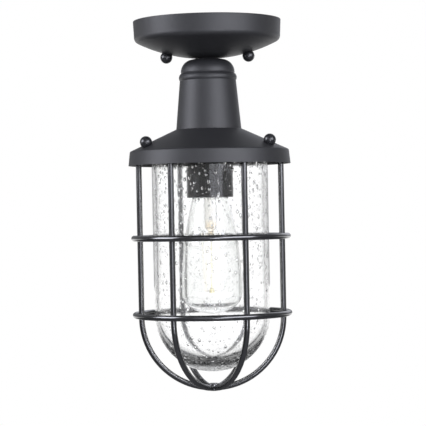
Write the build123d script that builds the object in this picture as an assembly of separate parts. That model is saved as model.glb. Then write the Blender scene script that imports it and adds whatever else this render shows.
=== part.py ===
from build123d import *
import math
import os

# Outdoor ceiling light, in millimetres with +Z up.
# The ceiling is the plane Z = 0, the light hangs below it on the Z axis, and its front faces -Y.

# Sheet, clearances and fits
spun_sheet = 1.2  # steel sheet of the canopy, the neck and the roof
running_gap = 0.3  # between a turning or lifting piece and its seat
hole_clearance = 0.4  # on the radius, between a shank and the hole it passes through
thread_gap = 0.05  # on the radius, between mated threads drawn as plain walls
weld_gap = 0.05  # between round pieces that a weld or a cement joins

# Ceiling bracket: a stamped cross that screws to the ceiling box
bracket_sheet = 2.0
bracket_width = 22.0
bracket_end = 8.0  # from the outermost hole to the end of an arm
bracket_corner = 6.0
wire_hole_radius = 8.5
box_spacing = 88.9
slot_radius = 2.4
slot_length = 12.0
ground_screw_offset = 24.0  # along the arm with the slots
ground_shank_radius = 2.0
ground_head_radius = 4.2
ground_head_height = 2.6
ground_head_round = 1.2

# Studs, lock nuts and ball cap nuts
stud_radius = 2.05
stud_head_radius = 3.4
stud_head_height = 0.9
canopy_stud_spacing = 80.2
lock_nut_flats = 8.7
lock_nut_height = 3.2
ball_radius = 5.9
ball_sink = 2.4  # how far a ball nut sits into its hole in the sheet
ball_bore_past = 1.6  # blind bore, past the middle of the ball
stud_end_gap = 0.5  # from the tip of a stud to the end of the bore

# Canopy: a straight band closed by a shallow spherical dish
canopy_radius = 72.0
canopy_taper = 0.95  # the band narrows by this towards the dish
canopy_band = 19.3
canopy_corner = 5.6
canopy_rim_round = 0.5
dish_radius = 153.0
dish_flat_radius = 9.6  # flat in the middle of the dish, for the neck's washer
gasket_width = 4.0
gasket_height = 5.0

# Nipple: the threaded tube that clamps the canopy, the neck, the roof and the lampholder
nipple_radius = 4.9
nipple_bore_radius = 3.4
nipple_spare = 2.5  # thread that stands past each nut
nipple_nut_flats = 14.0
nipple_nut_height = 4.0
washer_radius = 9.2
washer_height = 1.0

# Neck: a spun bell with a bead under its dome, and a rubber washer on top
neck_washer_radius = 8.6
neck_washer_height = 1.3
neck_flat_radius = 14.0
neck_dome_radius = 26.2
neck_dome_height = 12.6
groove_depth = 0.3
groove_height = 0.9
bead_radius = 28.2
bead_height = 7.2
neck_taper_radius = 27.4
neck_base_radius = 31.8
neck_taper_height = 47.4

# Glass jar
glass_radius = 56.5
glass_wall = 4.0
glass_base = 10.0  # glass at the bottom of the jar
glass_length = 219.8
lip_width = 5.0
lip_height = 3.5
lip_round = 1.0
glass_gasket_height = 1.0
glass_side_clearance = 0.8  # between the jar and the hole of the guard plate

# Wire guard
wire_radius = 2.8
wire_count = 6
guard_side_clearance = 10.0  # between the jar and the wires
guard_base_clearance = 11.5  # between the jar and the hub
hub_rise = 1.6  # weld that stands above the wires at the hub
hub_round = 1.2
ring_spacing = 74.75
ring_rise = 2.85  # lower ring above the start of the bend
plate_sheet = 2.0
plate_margin = 1.9  # plate outside the wires
stud_inset = 5.6  # guard studs in from the edge of the plate
guard_nut_count = 3
rear_angle = 90  # degrees round the Z axis

# Roof: a spun cone with a flared rim
roof_ledge = 0.5  # flat that shows round the foot of the neck
roof_drop = 20.8
roof_side_clearance = 3.5  # from the guard plate to the corner of the roof
roof_rim_height = 13.65
roof_flare = 1.5
roof_corner = 2.0

# Lampholder
cup_sheet = 1.0
cup_radius = 22.7
cup_round = 2.0
cup_recess = 9.0  # from the mouth of the cup up to the socket
strap_sheet = 1.5
strap_width = 12.0
strap_foot = 5.0  # strap past its screws
socket_gap = 4.65  # from the end of the nipple to the socket
socket_radius = 17.5
socket_web = 13.9  # insulating body above the screw shell
socket_screw_radius = 1.5
socket_screw_depth = 6.0
socket_head_radius = 2.8
socket_head_height = 1.8
shell_wall = 0.4
contact_radius = 4.0
contact_leaf = 0.6
contact_height = 1.8

# Lamp
base_radius = 13.15
base_wall = 0.4
base_length = 26.5
base_proud = 1.0  # base that stands out of the socket
base_shoulder = 7.0  # from the tip of the lamp to the full width of its base
tip_radius = 4.4
tip_height = 1.2
insulator_radius = 9.5
bulb_length = 121.4  # from the base to the bottom of the glass
bulb_radius = 29.5
bulb_neck_radius = 15.0
bulb_corner = 17.0
bulb_crown = 40.0
bulb_wall = 0.8
bulb_plug = 7.0  # glass inside the base
stem_radius = 6.0
stem_wall = 1.0
stem_length = 38.0
flare_length = 12.0
press_radius = 2.4
press_length = 7.0
rod_radius = 1.0
rod_length = 56.0
rod_bead_height = 3.6
hook_wire_radius = 0.3
filament_wire_radius = 0.3
filament_top_radius = 9.0
filament_end_radius = 7.5
filament_legs = 10
filament_span = 320.0  # degrees round the rod from the first leg to the last
filament_turn_width = 2.0
filament_bend = 0.8
hook_gap = 0.15

# Heights and sizes worked out from the ones above
dish_edge_radius = canopy_radius - canopy_taper
dish_centre_z = math.sqrt(dish_radius**2 - dish_edge_radius**2) - canopy_band
dish_flat_z = dish_centre_z - math.sqrt(dish_radius**2 - dish_flat_radius**2)
ball_stand = ball_radius - ball_sink
canopy_nut_x = canopy_stud_spacing / 2
canopy_nut_z = dish_centre_z - math.sqrt((dish_radius + ball_stand) ** 2 - canopy_nut_x**2)
nut_bore_radius = stud_radius + running_gap
stud_hole_radius = stud_radius + hole_clearance
nipple_hole_radius = nipple_radius + hole_clearance

neck_top_z = dish_flat_z - neck_washer_height
dome_foot_z = neck_top_z - neck_dome_height
bead_top_z = dome_foot_z - groove_height
bead_foot_z = bead_top_z - bead_height
roof_top_z = bead_foot_z - neck_taper_height

wire_circle = glass_radius + guard_side_clearance + wire_radius
plate_radius = wire_circle + wire_radius + plate_margin
stud_circle = plate_radius - stud_inset
roof_radius = plate_radius + roof_side_clearance
roof_shoulder = neck_base_radius + roof_ledge
roof_slope = math.atan2(roof_drop, roof_radius - roof_shoulder)
roof_corner_z = roof_top_z - roof_drop
roof_rim_z = roof_corner_z - roof_rim_height


def roof_outside(radius):
    """Height of the outer face of the roof's cone at a radius."""
    return roof_top_z - (radius - roof_shoulder) * math.tan(roof_slope)


def roof_inside(radius):
    """Height of the inner face of the roof's cone at a radius."""
    return roof_outside(radius) - spun_sheet / math.cos(roof_slope)


guard_nut_z = roof_outside(stud_circle) + ball_stand / math.cos(roof_slope)
plate_top_z = roof_inside(plate_radius) - running_gap
plate_foot_z = plate_top_z - plate_sheet
lip_foot_z = plate_top_z + glass_gasket_height
lip_top_z = lip_foot_z + lip_height
glass_foot_z = lip_top_z - glass_length
hub_top_z = glass_foot_z - guard_base_clearance
wire_foot_z = hub_top_z - hub_rise - wire_radius  # middle of the wires where they meet
bend_z = wire_foot_z + wire_circle
hub_radius = wire_radius / math.sin(math.pi / wire_count) + weld_gap
ring_circle = wire_circle + 2 * wire_radius + weld_gap
ring_lower_z = bend_z + ring_rise
ring_upper_z = ring_lower_z + ring_spacing
guard_nut_step = 360 / guard_nut_count
guard_nut_angles = {
    "rear": rear_angle,
    "left": rear_angle + guard_nut_step,
    "right": rear_angle - guard_nut_step,
}

cup_top_z = roof_top_z - spun_sheet
strap_top_z = cup_top_z - cup_sheet
lower_washer_z = strap_top_z - strap_sheet
lower_nut_z = lower_washer_z - washer_height
nipple_foot_z = lower_nut_z - nipple_nut_height - nipple_spare
upper_washer_z = dish_flat_z + spun_sheet
nipple_top_z = upper_washer_z + washer_height + nipple_nut_height + nipple_spare
socket_top_z = nipple_foot_z - socket_gap
contact_z = socket_top_z - socket_web
tip_z = contact_z - contact_height - running_gap
base_foot_z = tip_z - base_length
socket_foot_z = base_foot_z + base_proud
cup_foot_z = socket_foot_z - cup_recess
socket_screw_z = socket_top_z - socket_web / 2
strap_foot_z = socket_screw_z - strap_foot
shell_radius = base_radius + running_gap + shell_wall
flat_offset = socket_radius - strap_sheet  # flats of the socket, for the legs of the strap

bulb_foot_z = base_foot_z - bulb_length
plug_radius = base_radius - base_wall - weld_gap
stem_foot_z = base_foot_z - stem_length
press_foot_z = stem_foot_z - press_length
rod_foot_z = press_foot_z - rod_length
hook_top_z = press_foot_z + press_length / 4
hook_foot_z = rod_foot_z + rod_bead_height / 2


# Shared operations
def at(radius, height):
    """A point of a turned outline, from its distance to the axis and its height."""
    return Vector(radius, 0, height)


def bend_to_axis(radius, height):
    """A quarter circle that runs down to the Z axis from a radius and a height."""
    reach = radius * math.sqrt(0.5)
    return ThreePointArc(at(radius, height), at(reach, height - reach), at(0, height - radius))


def turned(*outline):
    """The solid that a closed outline sweeps round the Z axis."""
    return revolve(make_face([edge for line in outline for edge in line.edges()]), Axis.Z)


def hollowed(solid, wall, opening):
    """A sheet of even thickness inside a solid's surface, open at one face."""
    return offset(solid, amount=-wall, openings=opening)


def top_face(solid):
    return solid.faces().sort_by(Axis.Z)[-1]


def bottom_face(solid):
    return solid.faces().sort_by(Axis.Z)[0]


def round_edge(solid, radius, height):
    """The circular edge of a turned solid that lies nearest to a radius and a height."""
    circles = solid.edges().filter_by(GeomType.CIRCLE)
    return circles.sort_by(lambda edge: abs(edge.radius - radius) + abs(edge.arc_center.Z - height))[0]


def pillar(radius, bottom, top, x=0, y=0):
    """An upright round bar between two heights."""
    return Pos(x, y, bottom) * extrude(Circle(radius), top - bottom)


def collar(outer, inner, bottom, top):
    """An upright ring between two heights."""
    return Pos(0, 0, bottom) * extrude(Circle(outer) - Circle(inner), top - bottom)


def hex_nut(flats, bore, bottom, top, x=0):
    """An upright hexagon nut between two heights."""
    outline = RegularPolygon(flats / 2, 6, major_radius=False) - Circle(bore)
    return Pos(x, 0, bottom) * extrude(outline, top - bottom)


def polar(radius, degrees, height):
    """A point at a radius and an angle round the Z axis."""
    turn = math.radians(degrees)
    return Vector(radius * math.cos(turn), radius * math.sin(turn), height)


def straight_wire(start, end, radius):
    """A straight round wire between two points."""
    line = Line(start, end)
    return sweep(Plane(origin=line @ 0, z_dir=line % 0) * Circle(radius), path=line)


# Ceiling bracket and what it carries
def ceiling_bracket():
    stud_arm = SlotOverall(canopy_stud_spacing + 2 * bracket_end, bracket_width)
    box_arm = Rot(0, 0, 90) * SlotOverall(box_spacing + slot_length + 2 * bracket_end, bracket_width)
    cross = stud_arm + box_arm
    inner_corners = cross.vertices().sort_by(lambda corner: Vector(corner).length)[:4]
    cross = fillet(inner_corners, bracket_corner) - Circle(wire_hole_radius)
    for side in (-1, 1):
        slot = Rot(0, 0, 90) * SlotOverall(slot_length, 2 * slot_radius)
        cross -= Pos(0, side * box_spacing / 2) * slot
        cross -= Pos(side * canopy_nut_x, 0) * Circle(stud_radius + thread_gap)
    cross -= Pos(0, ground_screw_offset) * Circle(ground_shank_radius + thread_gap)
    plate = Pos(0, 0, -bracket_sheet) * extrude(cross, bracket_sheet)
    for side in (-1, 1):
        sink_radius = stud_head_radius + thread_gap
        plate -= pillar(sink_radius, -stud_head_height, bracket_sheet, side * canopy_nut_x)
    return plate


def ground_screw():
    head_top = -bracket_sheet
    head = pillar(ground_head_radius, head_top - ground_head_height, head_top, 0, ground_screw_offset)
    head = fillet(bottom_face(head).edges(), ground_head_round)
    return head + pillar(ground_shank_radius, head_top, 0, 0, ground_screw_offset)


def canopy_stud(side):
    x = side * canopy_nut_x
    tip = canopy_nut_z - ball_bore_past + stud_end_gap
    head = pillar(stud_head_radius, -stud_head_height, 0, x)
    return head + pillar(stud_radius, tip, -stud_head_height, x)


def stud_lock_nut(side):
    foot = -bracket_sheet - lock_nut_height
    return hex_nut(lock_nut_flats, stud_radius + thread_gap, foot, -bracket_sheet, side * canopy_nut_x)


def ball_nut():
    """A ball cap nut about its own middle, with its blind bore open at the top."""
    return Sphere(ball_radius) - pillar(nut_bore_radius, -ball_bore_past, 2 * ball_radius)


# Canopy, neck and roof
def canopy():
    middle = (dish_flat_radius + dish_edge_radius) / 2
    middle_z = dish_centre_z - math.sqrt(dish_radius**2 - middle**2)
    dish = ThreePointArc(
        at(dish_flat_radius, dish_flat_z), at(middle, middle_z), at(dish_edge_radius, -canopy_band)
    )
    band = Line(at(dish_edge_radius, -canopy_band), at(canopy_radius, 0))
    inside = Polyline(
        at(canopy_radius, 0),
        at(0, 0),
        at(0, dish_flat_z),
        at(dish_flat_radius, dish_flat_z),
    )
    form = turned(dish, band, inside)
    form = fillet(round_edge(form, dish_edge_radius, -canopy_band), canopy_corner)
    shell = hollowed(form, spun_sheet, top_face(form))
    shell -= pillar(nipple_hole_radius, dish_flat_z - spun_sheet, 0)
    for side in (-1, 1):
        x = side * canopy_nut_x
        shell -= Pos(x, 0, canopy_nut_z) * Sphere(ball_radius + running_gap)
        shell -= pillar(stud_hole_radius, canopy_nut_z, 0, x)
    return fillet(round_edge(shell, canopy_radius, 0), canopy_rim_round)


def canopy_gasket():
    narrowing = canopy_taper * gasket_height / canopy_band
    outer = canopy_radius - narrowing - spun_sheet - weld_gap
    return collar(outer, outer - gasket_width, -gasket_height, 0)


def neck_washer():
    return collar(neck_washer_radius, nipple_hole_radius, neck_top_z, dish_flat_z)


def neck():
    halfway = math.sqrt(0.5)
    dome_middle = at(
        neck_flat_radius + (neck_dome_radius - neck_flat_radius) * halfway,
        neck_top_z - neck_dome_height * (1 - halfway),
    )
    groove_radius = neck_dome_radius - groove_depth
    dome = ThreePointArc(at(neck_flat_radius, neck_top_z), dome_middle, at(neck_dome_radius, dome_foot_z))
    groove = Line(at(neck_dome_radius, dome_foot_z), at(groove_radius, bead_top_z))
    bead = ThreePointArc(
        at(groove_radius, bead_top_z),
        at(bead_radius, (bead_top_z + bead_foot_z) / 2),
        at(neck_taper_radius, bead_foot_z),
    )
    taper = Line(at(neck_taper_radius, bead_foot_z), at(neck_base_radius, roof_top_z))
    inside = Polyline(
        at(neck_base_radius, roof_top_z),
        at(0, roof_top_z),
        at(0, neck_top_z),
        at(neck_flat_radius, neck_top_z),
    )
    form = turned(dome, groove, bead, taper, inside)
    shell = hollowed(form, spun_sheet, bottom_face(form))
    return shell - pillar(nipple_hole_radius, neck_top_z - 2 * spun_sheet, neck_top_z + spun_sheet)


def roof():
    form = turned(
        Polyline(
            at(0, roof_top_z),
            at(roof_shoulder, roof_top_z),
            at(roof_radius, roof_corner_z),
            at(roof_radius + roof_flare, roof_rim_z),
            at(0, roof_rim_z),
            close=True,
        )
    )
    form = fillet(round_edge(form, roof_radius, roof_corner_z), roof_corner)
    shell = hollowed(form, spun_sheet, bottom_face(form))
    shell -= pillar(nipple_hole_radius, roof_top_z - 2 * spun_sheet, roof_top_z + spun_sheet)
    for angle in guard_nut_angles.values():
        seat = polar(stud_circle, angle, guard_nut_z)
        shell -= Pos(seat) * Sphere(ball_radius + running_gap)
        shell -= pillar(stud_hole_radius, plate_top_z, guard_nut_z, seat.X, seat.Y)
    return shell


# Nipple with its nuts and washers
def nipple():
    return collar(nipple_radius, nipple_bore_radius, nipple_foot_z, nipple_top_z)


def nipple_washer(foot):
    return collar(washer_radius, nipple_hole_radius, foot, foot + washer_height)


def nipple_nut(foot):
    return hex_nut(nipple_nut_flats, nipple_radius + thread_gap, foot, foot + nipple_nut_height)


# Lampholder
def socket_cup():
    form = fillet(top_face(pillar(cup_radius, cup_foot_z, cup_top_z)).edges(), cup_round)
    shell = hollowed(form, cup_sheet, bottom_face(form))
    return shell - pillar(nipple_hole_radius, strap_top_z - cup_sheet, cup_top_z + cup_sheet)


def socket_strap():
    span = 2 * socket_radius
    bridge_outline = Rectangle(span, strap_width) - Circle(nipple_hole_radius)
    bridge = Pos(0, 0, lower_washer_z) * extrude(bridge_outline, strap_sheet)
    for side in (-1, 1):
        leg_x = side * (socket_radius - strap_sheet / 2)
        leg_height = lower_washer_z - strap_foot_z
        bridge += Pos(leg_x, 0, strap_foot_z) * extrude(Rectangle(strap_sheet, strap_width), leg_height)
    screw_line = Plane(origin=(-span, 0, socket_screw_z), z_dir=(1, 0, 0))
    return bridge - extrude(screw_line * Circle(socket_screw_radius + hole_clearance), 2 * span)


def socket_body():
    body = pillar(socket_radius, socket_foot_z, socket_top_z)
    body -= pillar(shell_radius + thread_gap, socket_foot_z, contact_z)
    for side in (-1, 1):
        recess_height = socket_top_z - strap_foot_z + running_gap
        recess = extrude(Rectangle(socket_radius, strap_width + 2 * running_gap), recess_height)
        body -= Pos(side * (flat_offset + socket_radius / 2), 0, socket_top_z - recess_height) * recess
        screw_line = Plane(origin=(side * flat_offset, 0, socket_screw_z), z_dir=(-side, 0, 0))
        body -= extrude(screw_line * Circle(socket_screw_radius + thread_gap), socket_screw_depth)
    return body


def socket_screw(side):
    under_head = Plane(origin=(side * socket_radius, 0, socket_screw_z), z_dir=(side, 0, 0))
    shank_length = socket_screw_depth + strap_sheet - running_gap
    head = extrude(under_head * Circle(socket_head_radius), socket_head_height)
    return head + extrude(under_head * Circle(socket_screw_radius), -shank_length)


def socket_shell():
    return collar(shell_radius, shell_radius - shell_wall, socket_foot_z, contact_z)


def socket_contact():
    leaf = pillar(contact_radius, contact_z - contact_leaf, contact_z)
    return leaf + pillar(contact_radius / 2, contact_z - contact_height, contact_z - contact_leaf)


# Wire guard, with the glass jar that it carries
def guard_top_plate():
    return collar(plate_radius, glass_radius + glass_side_clearance, plate_foot_z, plate_top_z)


def guard_stud(angle):
    foot = polar(stud_circle, angle, plate_top_z)
    return pillar(stud_radius, plate_top_z, guard_nut_z + ball_bore_past - stud_end_gap, foot.X, foot.Y)


def guard_wire(angle):
    """A round wire, straight down from the plate and bent in a quarter circle to the hub."""
    straight = Line(at(wire_circle, plate_foot_z), at(wire_circle, bend_z))
    path = Wire([straight, bend_to_axis(wire_circle, bend_z)])
    wire = sweep(Plane(origin=path @ 0, z_dir=path % 0) * Circle(wire_radius), path=path)
    wire -= pillar(hub_radius + weld_gap, wire_foot_z - 2 * wire_radius, wire_foot_z + 2 * wire_radius)
    return Rot(0, 0, angle) * wire


def guard_ring(height):
    return Pos(0, 0, height) * Torus(ring_circle, wire_radius)


def guard_hub():
    hub = pillar(hub_radius, wire_foot_z - wire_radius, hub_top_z)
    return fillet(hub.edges().filter_by(GeomType.CIRCLE), hub_round)


def glass_jar():
    """A jar with a hemispherical foot, a thick bottom and a lip that hangs on the guard plate."""
    inner_radius = glass_radius - glass_wall
    lip_radius = glass_radius + lip_width
    outer_bend_z = glass_foot_z + glass_radius
    inner_foot_z = glass_foot_z + glass_base
    inner_bend_z = inner_foot_z + inner_radius
    outer_bend = bend_to_axis(glass_radius, outer_bend_z)
    inner_bend = bend_to_axis(inner_radius, inner_bend_z)
    axis = Line(at(0, glass_foot_z), at(0, inner_foot_z))
    wall_and_lip = Polyline(
        at(inner_radius, inner_bend_z),
        at(inner_radius, lip_top_z),
        at(lip_radius, lip_top_z),
        at(lip_radius, lip_foot_z),
        at(glass_radius, lip_foot_z),
        at(glass_radius, outer_bend_z),
    )
    jar = turned(outer_bend, axis, inner_bend, wall_and_lip)
    return fillet(round_edge(jar, lip_radius, lip_top_z), lip_round)


def glass_gasket():
    inner = glass_radius + glass_side_clearance
    return collar(glass_radius + lip_width, inner, plate_top_z, lip_foot_z)


# Lamp
def bulb_glass():
    """A long tapered bulb: one large arc down its side, a rounded corner and a shallow crown."""
    crown_centre_z = bulb_foot_z + bulb_crown
    between = bulb_crown - bulb_corner
    corner_reach = bulb_radius - bulb_corner
    widest_z = crown_centre_z - math.sqrt(between**2 - corner_reach**2)
    crown_angle = math.asin(corner_reach / between)
    crown_edge = at(bulb_crown * math.sin(crown_angle), crown_centre_z - bulb_crown * math.cos(crown_angle))
    crown_middle = at(
        bulb_crown * math.sin(crown_angle / 2), crown_centre_z - bulb_crown * math.cos(crown_angle / 2)
    )
    side = TangentArc(at(bulb_radius, widest_z), at(bulb_neck_radius, base_foot_z), tangent=(0, 0, 1))
    corner = TangentArc(at(bulb_radius, widest_z), crown_edge, tangent=(0, 0, -1))
    crown = ThreePointArc(crown_edge, crown_middle, at(0, bulb_foot_z))
    plug = Polyline(
        at(0, bulb_foot_z),
        at(0, base_foot_z + bulb_plug),
        at(plug_radius, base_foot_z + bulb_plug),
        at(plug_radius, base_foot_z),
        at(bulb_neck_radius, base_foot_z),
    )
    form = turned(side, corner, crown, plug)
    return hollowed(form, bulb_wall, top_face(form))


def bulb_base():
    shoulder_z = tip_z - base_shoulder
    collar_z = tip_z - base_shoulder / 2
    inner = base_radius - base_wall
    return turned(
        Polyline(
            at(insulator_radius, collar_z),
            at(base_radius, shoulder_z),
            at(base_radius, base_foot_z),
            at(inner, base_foot_z),
            at(inner, shoulder_z - base_wall),
            at(insulator_radius, collar_z - 2 * base_wall),
            close=True,
        )
    )


def bulb_insulator():
    collar_z = tip_z - base_shoulder / 2
    return turned(
        Polyline(
            at(0, tip_z - tip_height),
            at(tip_radius, tip_z - tip_height),
            at(insulator_radius - weld_gap, collar_z),
            at(insulator_radius - weld_gap, collar_z - 2 * base_wall),
            at(0, collar_z - 2 * base_wall),
            close=True,
        )
    )


def bulb_contact():
    crown = pillar(tip_radius, tip_z - tip_height, tip_z)
    return fillet(top_face(crown).edges(), tip_height / 2)


def bulb_stem():
    """The flare, tube, press and support rod, drawn out of one piece of glass."""
    flare_radius = plug_radius - bulb_wall - weld_gap
    flare_top_z = base_foot_z + bulb_plug / 2
    flare_foot_z = flare_top_z - flare_length
    return turned(
        Polyline(
            at(flare_radius, flare_top_z),
            at(flare_radius, flare_top_z - stem_wall),
            at(stem_radius, flare_foot_z),
            at(stem_radius, stem_foot_z),
            at(press_radius, press_foot_z + press_length / 2),
            at(press_radius, press_foot_z),
            at(rod_radius, press_foot_z - rod_radius),
            at(rod_radius, rod_foot_z + rod_bead_height + rod_radius),
            at(press_radius, rod_foot_z + rod_bead_height),
            at(press_radius, rod_foot_z),
            at(0, rod_foot_z),
            at(0, stem_foot_z),
            at(stem_radius - stem_wall, stem_foot_z + stem_wall),
            at(stem_radius - stem_wall, flare_foot_z),
            at(flare_radius - stem_wall, flare_top_z),
            close=True,
        )
    )


def filament_turn(index):
    """Radius, angle and height of one hold on the filament, up and down round the support rod."""
    angle = rear_angle + (index - filament_legs / 2) * filament_span / filament_legs
    if index % 2:
        return filament_end_radius, angle, hook_foot_z
    return filament_top_radius, angle, hook_top_z


def bulb_filament():
    """One wire in upright legs, with a narrow turn over each hook."""
    points = []
    for index in range(filament_legs + 1):
        radius, angle, height = filament_turn(index)
        half_turn = math.degrees(filament_turn_width / 2 / radius)
        if index > 0:
            points.append(polar(radius, angle - half_turn, height))
        if index < filament_legs:
            points.append(polar(radius, angle + half_turn, height))
    path = FilletPolyline(*points, radius=filament_bend)
    return sweep(Plane(origin=path @ 0, z_dir=path % 0) * Circle(filament_wire_radius), path=path)


def bulb_support_wires():
    """A hook from the glass to each turn of the filament, and a lead to each of its ends."""
    wires = []
    for index in range(filament_legs + 1):
        radius, angle, height = filament_turn(index)
        root = polar(press_radius + weld_gap, angle, height)
        tip = polar(radius - filament_wire_radius - hook_gap, angle, height)
        wires.append(straight_wire(root, tip, hook_wire_radius))
    return wires


def group(solids):
    """Like fasteners or wires that share a node as separate solids."""
    return Compound([solid for part in solids for solid in part.solids()])


parts = {
    "ceiling_bracket": ceiling_bracket(),
    "ground_screw": ground_screw(),
    "canopy_studs": group([canopy_stud(-1), canopy_stud(1)]),
    "stud_lock_nuts": group([stud_lock_nut(-1), stud_lock_nut(1)]),
    "canopy": canopy(),
    "canopy_gasket": canopy_gasket(),
    "canopy_nut_left": Pos(-canopy_nut_x, 0, canopy_nut_z) * ball_nut(),
    "canopy_nut_right": Pos(canopy_nut_x, 0, canopy_nut_z) * ball_nut(),
    "nipple": nipple(),
    "nipple_upper_washer": nipple_washer(upper_washer_z),
    "nipple_upper_nut": nipple_nut(upper_washer_z + washer_height),
    "nipple_lower_washer": nipple_washer(lower_nut_z),
    "nipple_lower_nut": nipple_nut(lower_nut_z - nipple_nut_height),
    "neck_washer": neck_washer(),
    "neck": neck(),
    "roof": roof(),
    "socket_cup": socket_cup(),
    "socket_strap": socket_strap(),
    "socket_body": socket_body(),
    "socket_screws": group([socket_screw(-1), socket_screw(1)]),
    "socket_shell": socket_shell(),
    "socket_contact": socket_contact(),
    "guard_top_plate": guard_top_plate(),
    "guard_studs": group([guard_stud(angle) for angle in guard_nut_angles.values()]),
    "guard_ring_upper": guard_ring(ring_upper_z),
    "guard_ring_lower": guard_ring(ring_lower_z),
    "guard_hub": guard_hub(),
    "glass_jar": glass_jar(),
    "glass_gasket": glass_gasket(),
    "bulb_glass": bulb_glass(),
    "bulb_base": bulb_base(),
    "bulb_insulator": bulb_insulator(),
    "bulb_contact": bulb_contact(),
    "bulb_stem": bulb_stem(),
    "bulb_support_wires": group(bulb_support_wires()),
    "bulb_filament": bulb_filament(),
}
for side, angle in guard_nut_angles.items():
    seat = polar(stud_circle, angle, guard_nut_z)
    parts["guard_nut_" + side] = Pos(seat) * Rot(180, 0, 0) * ball_nut()
for index in range(wire_count):
    parts[f"guard_wire_{index + 1}"] = guard_wire(index * 360 / wire_count)

os.makedirs("parts", exist_ok=True)
for name, part in parts.items():
    export_step(part, os.path.join("parts", name + ".step"))
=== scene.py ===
"""Looks of the outdoor ceiling light: coated metal, seeded glass, a lit lamp and a plain studio."""

import itertools
import math
import random

import bmesh
import bpy
from bpy.props import FloatProperty, FloatVectorProperty, IntProperty, PointerProperty
from mathutils import Matrix, Vector, noise


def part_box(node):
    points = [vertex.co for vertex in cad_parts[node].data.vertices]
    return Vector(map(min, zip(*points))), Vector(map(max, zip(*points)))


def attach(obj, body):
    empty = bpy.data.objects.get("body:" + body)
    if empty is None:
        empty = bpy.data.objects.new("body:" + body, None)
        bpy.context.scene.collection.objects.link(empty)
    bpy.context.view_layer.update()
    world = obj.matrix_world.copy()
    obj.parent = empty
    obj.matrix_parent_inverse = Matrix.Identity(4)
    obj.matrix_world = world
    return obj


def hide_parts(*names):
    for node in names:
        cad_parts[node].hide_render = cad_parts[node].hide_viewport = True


bl_info = {
    "name": "Outdoor ceiling light",
    "version": (1, 0, 0),
    "blender": (4, 5, 0),
    "location": "View3D > Sidebar > Ceiling light",
    "description": "Finishes, glass and studio of a caged outdoor ceiling light",
    "category": "Object",
}

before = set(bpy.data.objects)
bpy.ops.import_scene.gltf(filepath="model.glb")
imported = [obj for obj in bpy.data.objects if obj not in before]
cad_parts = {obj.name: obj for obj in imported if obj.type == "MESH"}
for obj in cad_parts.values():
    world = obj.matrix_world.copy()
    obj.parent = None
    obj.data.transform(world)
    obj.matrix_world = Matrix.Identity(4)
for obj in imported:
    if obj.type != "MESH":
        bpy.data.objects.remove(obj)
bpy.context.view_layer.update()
jar_low, jar_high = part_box("glass_jar")
bulb_low, bulb_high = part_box("bulb_glass")
base_low, base_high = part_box("bulb_base")
plate_low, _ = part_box("guard_top_plate")
stem_low, stem_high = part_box("bulb_stem")
upper_ring_low, upper_ring_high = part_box("guard_ring_upper")
lower_ring_low, lower_ring_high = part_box("guard_ring_lower")

WIRE_COUNT = 6
MILLIMETRE = 0.001
LIP_WIDTH = 5.0 * MILLIMETRE  # from the jar's side to the edge of its lip
WHITE = (1.0, 1.0, 1.0, 1.0)


# Settings
class CEILINGLIGHT_PG_coat(bpy.types.PropertyGroup):
    """Powder coat on the sheet metal and the wires."""

    colour: FloatVectorProperty(
        name="Coat colour",
        description="Colour of the powder coat",
        subtype="COLOR",
        size=4,
        min=0.0,
        max=1.0,
        default=(0.023, 0.0233, 0.026, 1.0),
    )
    sheet_roughness: FloatProperty(
        name="Sheet roughness",
        description="Roughness of the coat on the spun sheet",
        subtype="FACTOR",
        min=0.0,
        max=1.0,
        default=0.52,
    )
    wire_roughness: FloatProperty(
        name="Wire roughness",
        description="Roughness of the coat on the wires",
        subtype="FACTOR",
        min=0.0,
        max=1.0,
        default=0.2,
    )
    nut_roughness: FloatProperty(
        name="Nut roughness",
        description="Roughness of the coat on the ball nuts",
        subtype="FACTOR",
        min=0.0,
        max=1.0,
        default=0.3,
    )
    sheet_index: FloatProperty(
        name="Sheet index",
        description="Refractive index of the coat on the spun sheet and the nuts",
        min=1.0,
        default=1.8,
    )
    wire_index: FloatProperty(
        name="Wire index",
        description="Refractive index of the coat on the wires",
        min=1.0,
        default=2.45,
    )
    wire_colour: FloatVectorProperty(
        name="Wire colour",
        description="Colour of the coat on the wires",
        subtype="COLOR",
        size=4,
        min=0.0,
        max=1.0,
        default=(0.014, 0.0141, 0.016, 1.0),
    )
    # A darker copy of the coat colour: painted shade on the cup, which sits under the roof inside the glass
    # jar.
    shaded_cup_colour: FloatVectorProperty(
        name="Cup colour",
        description="Colour of the lampholder's cup",
        subtype="COLOR",
        size=4,
        min=0.0,
        max=1.0,
        default=(0.008, 0.008, 0.009, 1.0),
    )
    cup_roughness: FloatProperty(
        name="Cup roughness",
        description="Roughness of the lampholder's cup",
        subtype="FACTOR",
        min=0.0,
        max=1.0,
        default=0.3,
    )
    cup_index: FloatProperty(
        name="Cup index",
        description="Refractive index of the lampholder's cup",
        min=1.0,
        default=1.35,
    )
    weld_roughness: FloatProperty(
        name="Weld roughness",
        description="Roughness of the coat on the weld beads",
        subtype="FACTOR",
        min=0.0,
        max=1.0,
        default=0.26,
    )
    grain: FloatProperty(
        name="Grain",
        description="Width of the grain in the coat",
        unit="LENGTH",
        min=0.0001,
        default=0.0009,
    )
    sheet_grain: FloatProperty(
        name="Sheet grain",
        description="How strongly the grain shades the coat on the spun sheet",
        subtype="FACTOR",
        min=0.0,
        max=1.0,
        default=0.25,
    )
    sheet_bump: FloatProperty(
        name="Sheet bump",
        description="Height of the grain on the spun sheet",
        unit="LENGTH",
        default=0.00012,
    )
    fine_grain: FloatProperty(
        name="Fine grain",
        description="How strongly the grain shades the coat on the wires, nuts and cup",
        subtype="FACTOR",
        min=0.0,
        max=1.0,
        default=0.03,
    )
    fine_bump: FloatProperty(
        name="Fine bump",
        description="Height of the grain on the wires, nuts and cup",
        unit="LENGTH",
        default=0.000003,
    )


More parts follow.
